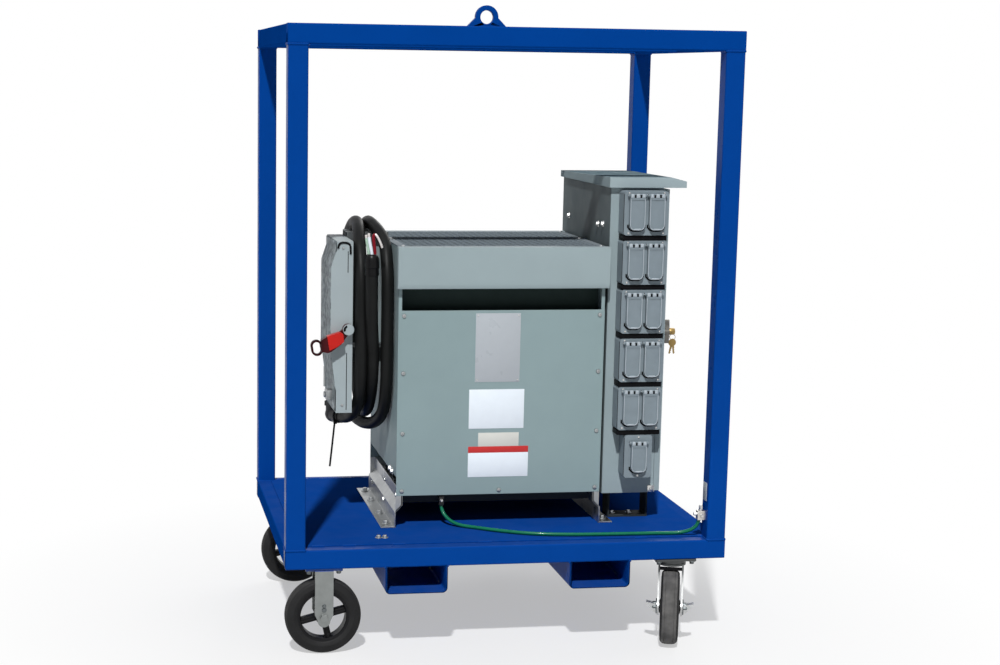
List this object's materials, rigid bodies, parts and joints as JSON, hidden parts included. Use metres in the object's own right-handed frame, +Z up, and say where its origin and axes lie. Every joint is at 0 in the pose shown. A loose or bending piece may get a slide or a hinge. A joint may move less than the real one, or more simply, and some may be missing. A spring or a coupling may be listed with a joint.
{
  "type": "portable power transformer on a wheeled lifting cage",
  "caption": "Ventilated dry-type power transformer in a tubular lifting cage on casters, with a safety switch, coiled feed cable and a receptacle panel.",
  "frame": {"origin": "on the floor, under the middle of the cage's footprint", "axes": "+Z up, +X to the right end with the receptacle panel, -Y to the front"},
  "size_m": [1.2192, 1.108, 1.7464],
  "materials": {
    "cage_blue": "glossy sprayed enamel",
    "zinc": "bright zinc plate",
    "wheel_black": "moulded rubber tread on a black core",
    "core_steel": "varnished laminations",
    "winding": "varnished winding wrap",
    "case_grey": "satin grey powder coat",
    "grille_steel": "grey coated expanded metal",
    "switch_grey": "satin light grey enamel",
    "lever_red": "red moulded grip",
    "gland_metal": "die-cast",
    "cable_black": "black jacket",
    "panel_grey": "satin light grey enamel",
    "handle_metal": "dark die-cast",
    "breaker_black": "moulded",
    "cast_grey": "grey coated die casting",
    "ground_brass": "plain brass",
    "wire_green": "green insulation"
  },
  "bodies": {
    "cart": {"base_long_rails": "cage_blue", "base_cross_rails": "cage_blue", "deck_plate": "cage_blue", "corner_posts": "cage_blue", "top_long_rails": "cage_blue", "top_side_rails": "cage_blue", "lift_beam": "cage_blue", "lifting_lug": "cage_blue", "fork_pockets": "cage_blue", "rigid_caster_forks": "zinc", "swivel_plates": "zinc", "case_feet": "zinc", "case_base_angles": "zinc", "switch_arms": "zinc", "panel_supports": "zinc", "core": "core_steel", "core_clamps": "core_steel", "core_coils": "winding", "case_side_walls": "case_grey", "case_front_panel": "case_grey", "case_back_panel": "case_grey", "vent_hoods": "case_grey", "top_grille": "grille_steel", "switch_box": "switch_grey", "switch_cover": "switch_grey", "cable_gland": "gland_metal", "feed_cable_lead": "cable_black", "feed_cable_coil": "cable_black", "panel_back": "panel_grey", "panel_side_walls": "panel_grey", "panel_end_walls": "panel_grey", "panel_cap": "panel_grey", "dead_front": "panel_grey", "breakers": "breaker_black", "outlets": "breaker_black", "receptacle_boxes": "cast_grey", "receptacle_plates": "cast_grey", "ground_lugs": "ground_brass", "ground_wire": "wire_green"},
    "rigid_wheel_front": {"rigid_wheel_front": "wheel_black"},
    "rigid_wheel_rear": {"rigid_wheel_rear": "wheel_black"},
    "swivel_front": {"swivel_fork_front": "zinc"},
    "swivel_rear": {"swivel_fork_rear": "zinc"},
    "swivel_wheel_front": {"swivel_wheel_front": "wheel_black"},
    "swivel_wheel_rear": {"swivel_wheel_rear": "wheel_black"},
    "switch_lever": {"switch_lever": "lever_red"},
    "panel_door": {"panel_door": "panel_grey"},
    "door_handle": {"door_handle": "handle_metal"},
    "lid_1_left": {"lid_1_left": "cast_grey"},
    "lid_1_right": {"lid_1_right": "cast_grey"},
    "lid_2_left": {"lid_2_left": "cast_grey"},
    "lid_2_right": {"lid_2_right": "cast_grey"},
    "lid_3_left": {"lid_3_left": "cast_grey"},
    "lid_3_right": {"lid_3_right": "cast_grey"},
    "lid_4_left": {"lid_4_left": "cast_grey"},
    "lid_4_right": {"lid_4_right": "cast_grey"},
    "lid_5_left": {"lid_5_left": "cast_grey"},
    "lid_5_right": {"lid_5_right": "cast_grey"},
    "lid_6": {"lid_6": "cast_grey"}
  },
  "joints": [
    {"name": "rigid_front_roll", "type": "hinge", "parent": "cart", "child": "rigid_wheel_front", "pos_m": [-0.505, -0.418, 0.1035], "axis": [0, 1, 0], "continuous": true},
    {"name": "rigid_rear_roll", "type": "hinge", "parent": "cart", "child": "rigid_wheel_rear", "pos_m": [-0.505, 0.3, 0.1035], "axis": [0, 1, 0], "continuous": true},
    {"name": "swivel_front_turn", "type": "hinge", "parent": "cart", "child": "swivel_front", "pos_m": [0.472, -0.412, 0.22], "axis": [0, 0, 1], "continuous": true},
    {"name": "swivel_rear_turn", "type": "hinge", "parent": "cart", "child": "swivel_rear", "pos_m": [0.472, 0.412, 0.22], "axis": [0, 0, 1], "continuous": true},
    {"name": "swivel_front_roll", "type": "hinge", "parent": "swivel_front", "child": "swivel_wheel_front", "pos_m": [0.45964, -0.45004, 0.1035], "axis": [0.9511, -0.309, 0], "continuous": true},
    {"name": "swivel_rear_roll", "type": "hinge", "parent": "swivel_rear", "child": "swivel_wheel_rear", "pos_m": [0.48436, 0.45004, 0.1035], "axis": [0.9511, -0.309, 0], "continuous": true},
    {"name": "switch_throw", "type": "hinge", "parent": "cart", "child": "switch_lever", "pos_m": [-0.4125, -0.1803, 0.8503], "axis": [0, 1, 0], "range_deg": [-15, 60]},
    {"name": "door_swing", "type": "hinge", "parent": "cart", "child": "panel_door", "pos_m": [0.4875, 0.31, 0.81], "axis": [0, 0, 1], "range_deg": [0, 110]},
    {"name": "handle_turn", "type": "hinge", "parent": "panel_door", "child": "door_handle", "pos_m": [0.4855, -0.198, 0.8383], "axis": [1, 0, 0], "range_deg": [0, 90]},
    {"name": "lid_1_left_flip", "type": "hinge", "parent": "cart", "child": "lid_1_left", "pos_m": [0.375, -0.292, 1.2298], "axis": [-1, 0, 0], "range_deg": [0, 90], "stiffness_Nm_per_rad": 0.05},
    {"name": "lid_1_right_flip", "type": "hinge", "parent": "cart", "child": "lid_1_right", "pos_m": [0.431, -0.292, 1.2298], "axis": [-1, 0, 0], "range_deg": [0, 90], "stiffness_Nm_per_rad": 0.05},
    {"name": "lid_2_left_flip", "type": "hinge", "parent": "cart", "child": "lid_2_left", "pos_m": [0.375, -0.292, 1.0928], "axis": [-1, 0, 0], "range_deg": [0, 90], "stiffness_Nm_per_rad": 0.05},
    {"name": "lid_2_right_flip", "type": "hinge", "parent": "cart", "child": "lid_2_right", "pos_m": [0.431, -0.292, 1.0928], "axis": [-1, 0, 0], "range_deg": [0, 90], "stiffness_Nm_per_rad": 0.05},
    {"name": "lid_3_left_flip", "type": "hinge", "parent": "cart", "child": "lid_3_left", "pos_m": [0.375, -0.292, 0.9558], "axis": [-1, 0, 0], "range_deg": [0, 90], "stiffness_Nm_per_rad": 0.05},
    {"name": "lid_3_right_flip", "type": "hinge", "parent": "cart", "child": "lid_3_right", "pos_m": [0.431, -0.292, 0.9558], "axis": [-1, 0, 0], "range_deg": [0, 90], "stiffness_Nm_per_rad": 0.05},
    {"name": "lid_4_left_flip", "type": "hinge", "parent": "cart", "child": "lid_4_left", "pos_m": [0.375, -0.292, 0.8188], "axis": [-1, 0, 0], "range_deg": [0, 90], "stiffness_Nm_per_rad": 0.05},
    {"name": "lid_4_right_flip", "type": "hinge", "parent": "cart", "child": "lid_4_right", "pos_m": [0.431, -0.292, 0.8188], "axis": [-1, 0, 0], "range_deg": [0, 90], "stiffness_Nm_per_rad": 0.05},
    {"name": "lid_5_left_flip", "type": "hinge", "parent": "cart", "child": "lid_5_left", "pos_m": [0.375, -0.292, 0.6818], "axis": [-1, 0, 0], "range_deg": [0, 90], "stiffness_Nm_per_rad": 0.05},
    {"name": "lid_5_right_flip", "type": "hinge", "parent": "cart", "child": "lid_5_right", "pos_m": [0.431, -0.292, 0.6818], "axis": [-1, 0, 0], "range_deg": [0, 90], "stiffness_Nm_per_rad": 0.05},
    {"name": "lid_6_flip", "type": "hinge", "parent": "cart", "child": "lid_6", "pos_m": [0.403, -0.292, 0.5348], "axis": [-1, 0, 0], "range_deg": [0, 90], "stiffness_Nm_per_rad": 0.05}
  ]
}
